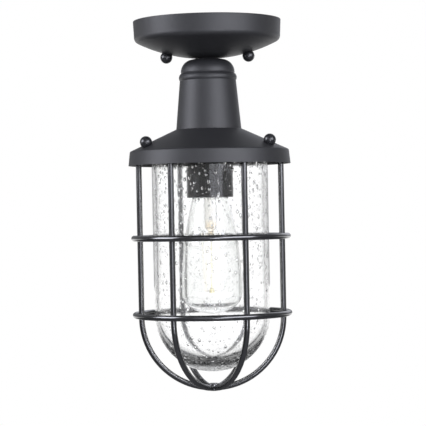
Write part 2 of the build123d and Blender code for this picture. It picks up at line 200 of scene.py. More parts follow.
class CEILINGLIGHT_PG_jar(bpy.types.PropertyGroup):
    """Seeded glass jar."""

    radius: FloatProperty(
        name="Radius",
        description="Outer radius of the jar",
        unit="LENGTH",
        default=jar_high.x - LIP_WIDTH,
    )
    wall: FloatProperty(
        name="Wall",
        description="Thickness of the jar's side",
        unit="LENGTH",
        default=0.004,
    )
    base: FloatProperty(
        name="Base",
        description="Thickness of the jar's bottom",
        unit="LENGTH",
        default=0.010,
    )
    lip: FloatProperty(
        name="Lip",
        description="Height of the lip that hangs on the guard",
        unit="LENGTH",
        default=0.0035,
    )
    wave_height: FloatProperty(
        name="Wave height",
        description="How far the waves in the glass rise and fall",
        unit="LENGTH",
        default=0.00003,
    )
    wave_length: FloatProperty(
        name="Wave length",
        description="Width of the waves in the glass",
        unit="LENGTH",
        default=0.006,
    )
    ripple: FloatProperty(
        name="Ripple",
        description="Width of the fine ripples on the glass",
        unit="LENGTH",
        default=0.0032,
    )
    ripple_depth: FloatProperty(
        name="Ripple depth",
        description="Height of the fine ripples on the glass",
        unit="LENGTH",
        default=0.00002,
    )
    bloom: FloatProperty(
        name="Bloom",
        description="Roughness where the glass is least clear",
        subtype="FACTOR",
        min=0.0,
        max=1.0,
        default=0.15,
    )
    seed_count: IntProperty(
        name="Seeds",
        description="How many air bubbles are in the glass",
        min=0,
        default=2600,
    )
    seed_smallest: FloatProperty(
        name="Smallest seed",
        description="Radius of the smallest bubble",
        unit="LENGTH",
        default=0.0004,
    )
    seed_largest: FloatProperty(
        name="Largest seed",
        description="Radius of the largest bubble",
        unit="LENGTH",
        default=0.0016,
    )
    seed_fine: FloatProperty(
        name="Finely made seed",
        description="Radius from which a bubble is made with more faces",
        unit="LENGTH",
        default=0.0006,
    )
    seed_index: FloatProperty(
        name="Seed index",
        description="Refractive index at the wall of a bubble",
        default=1.2,
    )
    draw: IntProperty(
        name="Draw",
        description="Number that fixes where the bubbles lie",
        default=17,
    )
    tint: FloatVectorProperty(
        name="Glass tint",
        description="Colour that thick glass takes on",
        subtype="COLOR",
        size=4,
        min=0.0,
        max=1.0,
        default=(0.80, 0.815, 0.82, 1.0),
    )
    gloss: FloatVectorProperty(
        name="Gloss",
        description="Share of the reflections that the jar keeps",
        subtype="COLOR",
        size=4,
        min=0.0,
        max=1.0,
        default=(0.65, 0.65, 0.65, 1.0),
    )
    density: FloatProperty(
        name="Tint density",
        description="How quickly thick glass takes on its tint, per metre",
        default=12.0,
    )


class CEILINGLIGHT_PG_lamp(bpy.types.PropertyGroup):
    """Clear tapered lamp."""

    radius: FloatProperty(
        name="Radius",
        description="Largest radius of the bulb",
        unit="LENGTH",
        default=bulb_high.x,
    )
    neck_radius: FloatProperty(
        name="Neck radius",
        description="Radius of the bulb where it meets its base",
        unit="LENGTH",
        default=0.015,
    )
    corner: FloatProperty(
        name="Corner",
        description="Radius of the bulb's lower corner",
        unit="LENGTH",
        default=0.017,
    )
    crown: FloatProperty(
        name="Crown",
        description="Radius of the bulb's shallow bottom",
        unit="LENGTH",
        default=0.040,
    )
    wall: FloatProperty(
        name="Wall",
        description="Thickness of the bulb's glass",
        unit="LENGTH",
        default=0.0008,
    )
    tint: FloatVectorProperty(
        name="Glass tint",
        description="Colour that the bulb's glass takes on",
        subtype="COLOR",
        size=4,
        min=0.0,
        max=1.0,
        default=(0.73, 0.77, 0.74, 1.0),
    )
    density: FloatProperty(
        name="Tint density",
        description="How quickly the bulb's glass takes on its tint, per metre",
        default=150.0,
    )
    glow: FloatVectorProperty(
        name="Glow",
        description="Colour of the lit filament",
        subtype="COLOR",
        size=4,
        min=0.0,
        max=1.0,
        default=(1.0, 0.985, 0.9, 1.0),
    )
    strength: FloatProperty(
        name="Strength",
        description="Brightness of the lit filament",
        min=0.0,
        default=1.0,
    )


class CEILINGLIGHT_PG_studio(bpy.types.PropertyGroup):
    """Camera, lights and floor."""

    distance: FloatProperty(
        name="Distance",
        description="From the camera to the axis of the light",
        unit="LENGTH",
        default=1.7,
    )
    lens: FloatProperty(
        name="Lens",
        description="Focal length of the camera, in millimetres",
        default=147.3,
    )
    azimuth: FloatProperty(
        name="Azimuth",
        description="Camera's angle round the light, from its front towards its right",
        unit="ROTATION",
        default=math.radians(2.0),
    )
    roll: FloatProperty(
        name="Roll",
        description="Camera's lean, which shows the light's right side higher",
        unit="ROTATION",
        default=math.radians(1.15),
    )
    target: FloatVectorProperty(
        name="Target",
        description="Point in the middle of the picture",
        subtype="TRANSLATION",
        size=3,
        default=(0.0024, 0.0, -0.1876),
    )
    floor: FloatProperty(
        name="Floor",
        description="Height of the floor",
        unit="LENGTH",
        default=-0.85,
    )
    light_colour: FloatVectorProperty(
        name="Light colour",
        description="Colour of the soft panels",
        subtype="COLOR",
        size=3,
        min=0.0,
        default=(0.965, 0.98, 1.08),
    )


# Node trees
def put(tree, kind, settings=None, inputs=None):
    """Adds a node, sets its options, and sets or joins its inputs by name or number."""
    node = tree.nodes.new(kind)
    for name, value in (settings or {}).items():
        setattr(node, name, value)
    for name, value in (inputs or {}).items():
        if isinstance(value, bpy.types.NodeSocket):
            tree.links.new(value, node.inputs[name])
        else:
            node.inputs[name].default_value = value
    return node


def calc(tree, operation, *values):
    """The result of a Math node."""
    return put(tree, "ShaderNodeMath", {"operation": operation}, dict(enumerate(values))).outputs[0]


def spread(tree, value, low, high):
    """A value from 0 to 1 brought to a range."""
    inputs = {"Value": value, "To Min": low, "To Max": high}
    return put(tree, "ShaderNodeMapRange", None, inputs).outputs["Result"]


def noise_at(tree, vector, scale, detail, roughness=0.5):
    """The grey value of a noise texture."""
    inputs = {"Vector": vector, "Scale": scale, "Detail": detail, "Roughness": roughness}
    return put(tree, "ShaderNodeTexNoise", None, inputs).outputs["Fac"]


def shaded(tree, colour, value):
    """A colour made lighter or darker by a value about 1."""
    return put(tree, "ShaderNodeVectorMath", {"operation": "SCALE"}, {0: colour, "Scale": value}).outputs[0]


def effect(name, inputs, outputs):
    """A new node group with named sockets, and its group input and output nodes."""
    group = bpy.data.node_groups.new(name, "ShaderNodeTree")
    for label, (kind, default) in inputs.items():
        group.interface.new_socket(label, in_out="INPUT", socket_type=kind).default_value = default
    for label, kind in outputs.items():
        group.interface.new_socket(label, in_out="OUTPUT", socket_type=kind)
    return group, group.nodes.new("NodeGroupInput").outputs, group.nodes.new("NodeGroupOutput").inputs


COLOUR, NUMBER = "NodeSocketColor", "NodeSocketFloat"


def grain_effect():
    """Fine grain over broad clouds, for coats, glazes and rubber."""
    name = "grain"
    if name in bpy.data.node_groups:
        return bpy.data.node_groups[name]
    tree, given, result = effect(
        name,
        {
            "Colour": (COLOUR, (0.5, 0.5, 0.5, 1.0)),
            "Roughness": (NUMBER, 0.5),
            "Grain size": (NUMBER, 0.001),
            "Grain depth": (NUMBER, 0.1),
            "Cloud depth": (NUMBER, 0.1),
        },
        {"Colour": COLOUR, "Roughness": NUMBER, "Height": NUMBER},
    )
    place = put(tree, "ShaderNodeTexCoord").outputs["Object"]
    fine = noise_at(tree, place, calc(tree, "DIVIDE", 1.0, given["Grain size"]), detail=3.0, roughness=0.6)
    broad = noise_at(tree, place, scale=38.0, detail=4.0, roughness=0.55)
    fine_swing = calc(tree, "MULTIPLY", calc(tree, "SUBTRACT", fine, 0.5), given["Grain depth"])
    broad_swing = calc(tree, "MULTIPLY", calc(tree, "SUBTRACT", broad, 0.5), given["Cloud depth"])
    swing = calc(tree, "ADD", fine_swing, broad_swing)
    colour = shaded(tree, given["Colour"], calc(tree, "ADD", swing, 1.0))
    roughening = 0.35
    rough = calc(tree, "ADD", given["Roughness"], calc(tree, "MULTIPLY", swing, roughening))
    tree.links.new(colour, result["Colour"])
    tree.links.new(rough, result["Roughness"])
    tree.links.new(fine, result["Height"])
    return tree


def streak_effect():
    """Fine turning marks round the Z axis, for bare metal."""
    name = "streaks"
    if name in bpy.data.node_groups:
        return bpy.data.node_groups[name]
    tree, given, result = effect(
        name,
        {
            "Colour": (COLOUR, (0.5, 0.5, 0.5, 1.0)),
            "Roughness": (NUMBER, 0.3),
            "Streak size": (NUMBER, 0.0004),
            "Stain depth": (NUMBER, 0.2),
        },
        {"Colour": COLOUR, "Roughness": NUMBER, "Height": NUMBER},
    )
    place = put(tree, "ShaderNodeTexCoord").outputs["Object"]
    axes = put(tree, "ShaderNodeSeparateXYZ", None, {0: place}).outputs
    squares = [calc(tree, "POWER", axis, 2.0) for axis in axes[:2]]
    out = calc(tree, "SQRT", calc(tree, "ADD", *squares))
    rings = put(tree, "ShaderNodeCombineXYZ", None, {0: out, 1: 0.0, 2: axes[2]}).outputs[0]
    marks = noise_at(tree, rings, calc(tree, "DIVIDE", 1.0, given["Streak size"]), detail=2.0)
    stain = noise_at(tree, place, scale=160.0, detail=4.0, roughness=0.6)
    stained = calc(tree, "MULTIPLY", calc(tree, "SUBTRACT", stain, 0.5), given["Stain depth"])
    colour = shaded(tree, given["Colour"], calc(tree, "ADD", stained, 1.0))
    roughening = 0.2
    marked = calc(tree, "MULTIPLY", calc(tree, "SUBTRACT", marks, 0.5), roughening)
    rough = calc(tree, "ADD", given["Roughness"], marked)
    tree.links.new(colour, result["Colour"])
    tree.links.new(calc(tree, "ADD", rough, stained), result["Roughness"])
    tree.links.new(marks, result["Height"])
    return tree


def ripple_effect():
    """Slight ripples and a faint bloom on blown glass."""
    name = "ripples"
    if name in bpy.data.node_groups:
        return bpy.data.node_groups[name]
    tree, given, result = effect(
        name,
        {"Ripple size": (NUMBER, 0.006), "Bloom": (NUMBER, 0.02)},
        {"Roughness": NUMBER, "Height": NUMBER},
    )
    place = put(tree, "ShaderNodeTexCoord").outputs["Object"]
    scale = calc(tree, "DIVIDE", 1.0, given["Ripple size"])
    ripple = noise_at(tree, place, scale, detail=2.5, roughness=0.55)
    bloom = noise_at(tree, place, scale=90.0, detail=3.0)
    tree.links.new(calc(tree, "MULTIPLY", bloom, given["Bloom"]), result["Roughness"])
    tree.links.new(ripple, result["Height"])
    return tree


# Materials
def blank(name):
    """A new material with a Principled shader, and its node tree."""
    material = bpy.data.materials.new(name)
    material.use_nodes = True
    tree = material.node_tree
    tree.nodes.clear()
    shader = put(tree, "ShaderNodeBsdfPrincipled")
    put(tree, "ShaderNodeOutputMaterial", None, {"Surface": shader.outputs[0]})
    return material, tree, shader


def wear(tree, shader, group, values, depth, strength):
    """Joins an effect's outputs to a shader, with its height as a bump."""
    worn = put(tree, "ShaderNodeGroup", {"node_tree": group}, values).outputs
    if "Colour" in worn:
        tree.links.new(worn["Colour"], shader.inputs["Base Color"])
    tree.links.new(worn["Roughness"], shader.inputs["Roughness"])
    inputs = {"Strength": strength, "Distance": depth, "Height": worn["Height"]}
    bump = put(tree, "ShaderNodeBump", None, inputs)
    tree.links.new(bump.outputs[0], shader.inputs["Normal"])


def grained(
    name, colour, roughness, grain, grain_depth=0.25, cloud_depth=0.2, bump=0.00012, coat=0.0, index=1.5
):
    """A coat, glaze or rubber with the grain effect."""
    material, tree, shader = blank(name)
    values = {
        "Colour": colour,
        "Roughness": roughness,
        "Grain size": grain,
        "Grain depth": grain_depth,
        "Cloud depth": cloud_depth,
    }
    wear(tree, shader, grain_effect(), values, depth=bump, strength=0.5)
    shader.inputs["IOR"].default_value = index
    shader.inputs["Coat Weight"].default_value = coat
    shader.inputs["Coat Roughness"].default_value = 0.12
    return material


def streaked(name, colour, roughness, stain=0.2):
    """A bare metal with the streak effect."""
    material, tree, shader = blank(name)
    values = {"Colour": colour, "Roughness": roughness, "Streak size": 0.0004, "Stain depth": stain}
    wear(tree, shader, streak_effect(), values, depth=0.00002, strength=0.4)
    shader.inputs["Metallic"].default_value = 1.0
    return material


def blown(name, colour, ripple, bloom, depth, tint=None, density=0.0, index=1.5, gloss=WHITE):
    """A clear glass with the ripple effect, and a tint that grows with its thickness."""
    material, tree, shader = blank(name)
    values = {"Ripple size": ripple, "Bloom": bloom}
    wear(tree, shader, ripple_effect(), values, depth, strength=1.0)
    shader.inputs["Base Color"].default_value = colour
    shader.inputs["Metallic"].default_value = 0.0
    shader.inputs["Transmission Weight"].default_value = 1.0
    shader.inputs["IOR"].default_value = index
    shader.inputs["Specular Tint"].default_value = gloss
    if tint:
        absorption = put(tree, "ShaderNodeVolumeAbsorption", None, {"Color": tint, "Density": density})
        output = next(node for node in tree.nodes if node.type == "OUTPUT_MATERIAL")
        tree.links.new(absorption.outputs[0], output.inputs["Volume"])
    return material


def finish(material, *names):
    """Gives a material to CAD nodes."""
    for name in names:
        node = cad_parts[name]
        node.data.materials.clear()
        node.data.materials.append(material)


# Meshes
def piece(name, mesh, material, body, slot, *replaced):
    """Links a new piece, smooth shaded, that rides on a body and may stand for CAD nodes."""
    mesh.materials.append(material)
    mesh.polygons.foreach_set("use_smooth", [True] * len(mesh.polygons))
    made = bpy.data.objects.new(name, mesh)
    bpy.context.scene.collection.objects.link(made)
    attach(made, body)
    if replaced:
        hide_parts(*replaced)
    return made


def turned(outline, turns, shift=None):
    """Points and faces of an outline turned round the Z axis, from one point on the axis to another."""
    points, faces, rings = [], [], []
    for index, (radius, height) in enumerate(outline):
        start = len(points)
        if radius == 0:
            points.append(Vector((0, 0, height)))
            rings.append([start])
            continue
        for step in range(turns):
            angle = math.tau * step / turns
            point = Vector((radius * math.cos(angle), radius * math.sin(angle), height))
            points.append(shift(index, angle, point) if shift else point)
        rings.append(list(range(start, start + turns)))
    for lower, upper in zip(rings, rings[1:]):
        for step in range(turns):
            corners = []
            for ring, at in ((lower, step), (lower, step + 1), (upper, step + 1), (upper, step)):
                corner = ring[at % len(ring)]
                if corner not in corners:
                    corners.append(corner)
            faces.append(corners)
    return points, faces


def arc(centre, radius, start, end, steps, rise=None):
    """Points of an arc in an outline, by angle in degrees from straight out towards straight up.

    A rise other than the radius makes the arc oval.
    """
    points = []
    for step in range(steps + 1):
        angle = math.radians(start + (end - start) * step / steps)
        up = (rise or radius) * math.sin(angle)
        points.append((centre[0] + radius * math.cos(angle), centre[1] + up))
    return points


def run(start, end, steps):
    """Points of a straight stretch of an outline, without its ends."""
    return [
        tuple(a + (b - a) * step / steps for a, b in zip(start, end)) for step in range(1, steps)
    ]


def outward(mesh):
    """Turns the faces of a closed mesh to face out."""
    shape = bmesh.new()
    shape.from_mesh(mesh)
    bmesh.ops.recalc_face_normals(shape, faces=shape.faces)
    shape.to_mesh(mesh)
    shape.free()


def ball(subdivisions):
    """Points and faces of a unit ball."""
    shape = bmesh.new()
    bmesh.ops.create_icosphere(shape, subdivisions=subdivisions, radius=1.0)
    points = [vertex.co.copy() for vertex in shape.verts]
    faces = [[vertex.index for vertex in face.verts] for face in shape.faces]
    shape.free()
    return points, faces


# Coated metal
def coat_material(name, colour, roughness, index, on_sheet=False):
    """The powder coat, with a stronger grain on spun sheet than on small pieces."""
    coat = bpy.context.scene.ceiling_light_coat
    depth = coat.sheet_grain if on_sheet else coat.fine_grain
    bump = coat.sheet_bump if on_sheet else coat.fine_bump
    return grained(name, colour, roughness, coat.grain, depth, bump=bump, index=index)


class CEILINGLIGHT_OT_coated_metal(bpy.types.Operator):
    """Coats the canopy, neck, roof, cup, guard and ball nuts"""

    bl_idname = "ceiling_light.coated_metal"
    bl_label = "Coat the metal"

    def execute(self, context):
        coat = context.scene.ceiling_light_coat
        sheet = coat_material(
            "coated_sheet", coat.colour, coat.sheet_roughness, coat.sheet_index, on_sheet=True
        )
        wire = coat_material("coated_wire", coat.wire_colour, coat.wire_roughness, coat.wire_index)
        nut = coat_material("coated_nut", coat.colour, coat.nut_roughness, coat.sheet_index)
        finish(sheet, "canopy", "neck", "roof", "guard_top_plate")
        # The cup's coat is darker than the sheet's: painted shade under the roof inside the jar.
        cup = coat_material("coated_cup_painted_shade", coat.shaded_cup_colour, coat.cup_roughness, coat.cup_index)
        finish(cup, "socket_cup")
        finish(nut, "canopy_nut_left", "canopy_nut_right")
        finish(nut, "guard_nut_left", "guard_nut_right", "guard_nut_rear")
        finish(wire, "guard_ring_upper", "guard_ring_lower", "guard_hub")
        finish(wire, *[f"guard_wire_{number + 1}" for number in range(WIRE_COUNT)])
        return {"FINISHED"}


class CEILINGLIGHT_OT_guard_welds(bpy.types.Operator):
    """Adds the weld beads between the wires, the rings and the top plate of the guard"""

    bl_idname = "ceiling_light.guard_welds"
    bl_label = "Add the guard's welds"

    bead: FloatProperty(
        name="Bead",
        description="Half the width of a weld bead",
        unit="LENGTH",
        default=0.0024,
    )

    def execute(self, context):
        wire_radius = (upper_ring_high.z - upper_ring_low.z) / 2
        crossing = upper_ring_high.x - 2 * wire_radius
        rings = ((upper_ring_low, upper_ring_high), (lower_ring_low, lower_ring_high))
        heights = [(low.z + high.z) / 2 for low, high in rings]
        lump_depth, lump_scale, lump_step, flatness = 0.16, 1.7, 90, 0.58
        points, faces = [], []
        unit_points, unit_faces = ball(subdivisions=3)
        collar = [
            (wire_radius * 0.9, -2.0 * MILLIMETRE),
            (wire_radius * 1.08, -1.3 * MILLIMETRE),
            (wire_radius * 1.35, -0.5 * MILLIMETRE),
            (wire_radius * 1.65, -0.02 * MILLIMETRE),
            (wire_radius * 0.9, 0.02 * MILLIMETRE),
        ]
        closed = [(0, collar[0][1])] + collar + [(0, collar[-1][1])]
        foot_points, foot_faces = turned(closed, turns=32)
        for number in range(WIRE_COUNT):
            turn = Matrix.Rotation(math.tau * number / WIRE_COUNT, 4, "Z")
            for height in heights:
                start = len(points)
                for unit in unit_points:
                    place = unit * lump_scale + Vector((number, height * lump_step, 0))
                    lump = 1.0 + lump_depth * noise.noise(place)
                    local = Vector((unit.x * flatness, unit.y, unit.z)) * self.bead * lump
                    points.append(turn @ (local + Vector((crossing, 0, height))))
                faces += [[start + corner for corner in face] for face in unit_faces]
            start = len(points)
            middle = Vector((crossing - wire_radius, 0, plate_low.z))
            points += [turn @ (point + middle) for point in foot_points]
            faces += [[start + corner for corner in face] for face in foot_faces]
        mesh = bpy.data.meshes.new("guard_welds")
        mesh.from_pydata(points, [], faces)
        outward(mesh)
        coat = context.scene.ceiling_light_coat
        weld = coat_material("coated_weld", coat.wire_colour, coat.weld_roughness, coat.wire_index)
        piece("guard_welds", mesh, weld, "guard", "powder_coat")
        return {"FINISHED"}


class CEILINGLIGHT_OT_hardware(bpy.types.Operator):
    """Finishes the bracket, fasteners, gaskets and lampholder"""

    bl_idname = "ceiling_light.hardware"
    bl_label = "Finish the hardware"

    def execute(self, context):
        zinc = streaked("zinc_plate", (0.56, 0.56, 0.53, 1.0), roughness=0.34, stain=0.3)
        finish(zinc, "ceiling_bracket", "canopy_studs", "stud_lock_nuts", "guard_studs", "nipple")
        finish(zinc, "nipple_upper_washer", "nipple_upper_nut", "nipple_lower_washer", "nipple_lower_nut")
        finish(zinc, "socket_strap", "socket_screws")
        brass = streaked("drawn_brass", (0.74, 0.53, 0.22, 1.0), roughness=0.28)
        finish(brass, "socket_shell", "socket_contact")
        green = grained("green_screw", (0.03, 0.24, 0.08, 1.0), roughness=0.38, grain=0.0006)
        finish(green, "ground_screw")
        rubber = grained(
            "gasket_rubber",
            (0.025, 0.025, 0.026, 1.0),
            roughness=0.82,
            grain=0.0007,
            grain_depth=0.7,
            bump=0.0003,
        )
        finish(rubber, "canopy_gasket", "glass_gasket", "neck_washer")
        porcelain = grained(
            "glazed_porcelain",
            (0.79, 0.77, 0.71, 1.0),
            roughness=0.3,
            grain=0.0015,
            grain_depth=0.06,
            cloud_depth=0.08,
            bump=0.00003,
            coat=0.6,
        )
        finish(porcelain, "socket_body")
        return {"FINISHED"}


# Glass jar
LIP_ROUND = 0.6 * MILLIMETRE
STILL_EDGE = 4.0 * MILLIMETRE  # height under the lip without waves or middles of bubbles
WAVE_FADE = 20.0 * MILLIMETRE  # height over which the waves grow to their full size
WAVE_SQUEEZE = 0.8  # under 1, waves are taller than they are wide
END_WAVES = 0.3  # share of their size that the waves keep in the rounded end
FINE_WAVES, FINE_WAVE_SCALE = 0.5, 2.3  # smaller waves on the broad ones
INNER_WAVES = Vector((31.7, 12.9, 7.3))  # moves the pattern of the inner face away from the outer one's
SEED_SKIN = 0.2 * MILLIMETRE  # clear glass between a bubble and the jar's faces, about
SEED_RARITY, LIP_RARITY = 3.0, 0.5  # how rare large bubbles are, in the rounded end and under the lip
SIDE_STRETCH, END_STRETCH = 1.7, 0.35  # how much longer than wide a bubble may get


def jar_sizes(jar):
    """Heights and radii that the jar's outline and its bubbles share."""
    inner = jar.radius - jar.wall
    foot = jar_low.z
    return {
        "inner": inner,
        "foot": foot,
        "inner_foot": foot + jar.base,
        "inner_rise": jar.radius - jar.base,
        "middle": foot + jar.radius,
        "top": jar_high.z,
        "lip_foot": jar_high.z - jar.lip,
        "lip": jar_high.x,
    }


def jar_outline(jar):
    """Outline of the jar from the bottom of its hollow, over its lip, to its foot."""
    size = jar_sizes(jar)
    inner, lip, edge = size["inner"], size["lip"], LIP_ROUND
    top, lip_foot, middle = size["top"], size["lip_foot"], size["middle"]
    corner = 4
    outline = arc((0, middle), inner, -90, 0, steps=30, rise=size["inner_rise"])
    outline += run((inner, middle), (inner, top - edge), steps=58)
    outline += arc((inner + edge, top - edge), edge, 180, 90, corner)
    outline += arc((lip - edge, top - edge), edge, 90, 0, corner)
    outline += arc((lip - edge, lip_foot + edge), edge, 0, -90, corner)
    outline += arc((jar.radius + edge, lip_foot - edge), edge, 90, 180, corner)
    outline += run((jar.radius, lip_foot - edge), (jar.radius, middle), steps=56)
    outline += arc((0, middle), jar.radius, 0, -90, steps=32)
    outline[0] = (0, size["inner_foot"])
    outline[-1] = (0, size["foot"])
    return outline


def jar_waves(jar, outline):
    """A function that ripples the jar's inner and outer faces apart from each other."""
    last = len(outline) - 1
    size = jar_sizes(jar)
    still, middle = size["lip_foot"], size["middle"]
    facing = []
    for index in range(last + 1):
        before, after = outline[max(index - 1, 0)], outline[min(index + 1, last)]
        along = Vector((after[0] - before[0], after[1] - before[1])).normalized()
        facing.append((along.y, -along.x))
    inside = [index < last / 2 for index in range(last + 1)]

    def shift(index, angle, point):
        below_lip = min(1.0, max(0.0, (still - STILL_EDGE - point.z) / WAVE_FADE))
        above_end = min(1.0, max(0.0, (point.z - middle) / WAVE_FADE))
        calm = below_lip * (END_WAVES + (1.0 - END_WAVES) * above_end)
        place = point / jar.wave_length
        place.z *= WAVE_SQUEEZE
        if inside[index]:
            place += INNER_WAVES
        swing = noise.noise(place) + FINE_WAVES * noise.noise(place * FINE_WAVE_SCALE)
        rise = jar.wave_height * calm * swing
        out, up = facing[index]
        return point + Vector((out * math.cos(angle), out * math.sin(angle), up)) * rise

    return shift


def jar_seeds(jar):
    """Places, half widths and half lengths of the bubbles, as matrices for a unit ball."""
    size = jar_sizes(jar)
    inner, outer = size["inner"], jar.radius
    draw = random.Random(jar.draw)
    side = size["lip_foot"] - STILL_EDGE - size["middle"]
    share = side / (side + outer)
    cell = 4.0 * jar.seed_largest
    steps = [Vector(step) for step in itertools.product((-1, 0, 1), repeat=3)]
    seeds = []
    kept = {}
    while len(seeds) < jar.seed_count:
        angle = draw.uniform(0, math.tau)
        height = draw.random()
        depth = draw.random()
        stretch = draw.random()
        on_side = draw.random() < share
        rarity = SEED_RARITY - (SEED_RARITY - LIP_RARITY) * height * on_side
        radius = jar.seed_smallest * (jar.seed_largest / jar.seed_smallest) ** (draw.random() ** rarity)
        if on_side:
            z = size["middle"] + side * height
            length = radius * (1.0 + SIDE_STRETCH * height * stretch)
            margin = SEED_SKIN + radius
            out = inner + margin + (outer - inner - 2 * margin) * depth
            place = Vector((out * math.cos(angle), out * math.sin(angle), z))
            lean = Matrix.Identity(4)
        else:
            flat = math.sqrt(1 - height * height)
            way = Vector((flat * math.cos(angle), flat * math.sin(angle), -height))
            near = 1.0 / math.hypot(flat / inner, height / size["inner_rise"])
            margin = SEED_SKIN + radius
            reach = near + margin + (outer - near - 2 * margin) * depth
            length = radius * (1.0 + END_STRETCH * stretch)
            place = way * reach + Vector((0, 0, size["middle"]))
            along = Vector((-way.z * way.x, -way.z * way.y, flat * flat))
            lean = Vector((0, 0, 1)).rotation_difference(along).to_matrix().to_4x4()
        here = Vector([math.floor(value / cell) for value in place])
        beside = itertools.chain.from_iterable(kept.get(tuple(here + step), ()) for step in steps)
        if any((place - other).length < length + other_length for other, other_length in beside):
            continue
        kept.setdefault(tuple(here), []).append((place, length))
        seeds.append(Matrix.Translation(place) @ lean @ Matrix.Diagonal((radius, radius, length, 1.0)))
    return seeds


class CEILINGLIGHT_OT_glass_jar(bpy.types.Operator):
    """Blows the glass jar, with its waves and its bubbles"""

    bl_idname = "ceiling_light.glass_jar"
    bl_label = "Blow the glass jar"

    def execute(self, context):
        jar = context.scene.ceiling_light_jar
        outline = jar_outline(jar)
        points, faces = turned(outline, turns=144, shift=jar_waves(jar, outline))
        mesh = bpy.data.meshes.new("jar_shell")
        mesh.from_pydata(points, [], faces)
        outward(mesh)
        shell_points = [vertex.co.copy() for vertex in mesh.vertices]
        shell_faces = [list(face.vertices) for face in mesh.polygons]
        shell_count = len(shell_faces)
        fine, coarse = ball(subdivisions=2), ball(subdivisions=1)
        for place in jar_seeds(jar):
            start = len(shell_points)
            unit_points, unit_faces = fine if place.to_scale().x > jar.seed_fine else coarse
            shell_points += [place @ point for point in unit_points]
            shell_faces += [[start + corner for corner in reversed(face)] for face in unit_faces]
        bpy.data.meshes.remove(mesh)
        mesh = bpy.data.meshes.new("seeded_jar")
        mesh.from_pydata(shell_points, [], shell_faces)
        glass = blown(
            "seeded_glass",
            WHITE,
            jar.ripple,
            jar.bloom,
            jar.ripple_depth,
            tint=jar.tint,
            density=jar.density,
            gloss=jar.gloss,
        )
        piece("seeded_jar", mesh, glass, "guard", "jar_glass", "glass_jar")
        seeds = blown("glass_seeds", WHITE, jar.ripple, bloom=0.0, depth=0.00001, index=jar.seed_index)
        mesh.materials.append(seeds)
        slots = [0] * shell_count + [1] * (len(shell_faces) - shell_count)
        mesh.polygons.foreach_set("material_index", slots)
        return {"FINISHED"}


# Lamp
def bulb_outline(lamp, inset):
    """Outer or inner outline of the bulb, from the axis at its bottom up to its neck."""
    crown_middle = bulb_low.z + lamp.crown
    between = lamp.crown - lamp.corner
    reach = lamp.radius - lamp.corner
    widest = crown_middle - math.sqrt(between**2 - reach**2)
    crown_angle = math.degrees(math.asin(reach / between))
    height = base_low.z - widest
    narrowing = lamp.radius - lamp.neck_radius
    side = (height**2 + narrowing**2) / (2 * narrowing)
    side_angle = math.degrees(math.asin(height / side))
    outline = arc((0, crown_middle), lamp.crown - inset, -90, crown_angle - 90, steps=20)[:-1]
    outline += arc((reach, widest), lamp.corner - inset, crown_angle - 90, 0, steps=16)[:-1]
    outline += arc((lamp.radius - side, widest), side - inset, 0, side_angle, steps=48)
    outline[0] = (0, bulb_low.z + inset)
    return outline


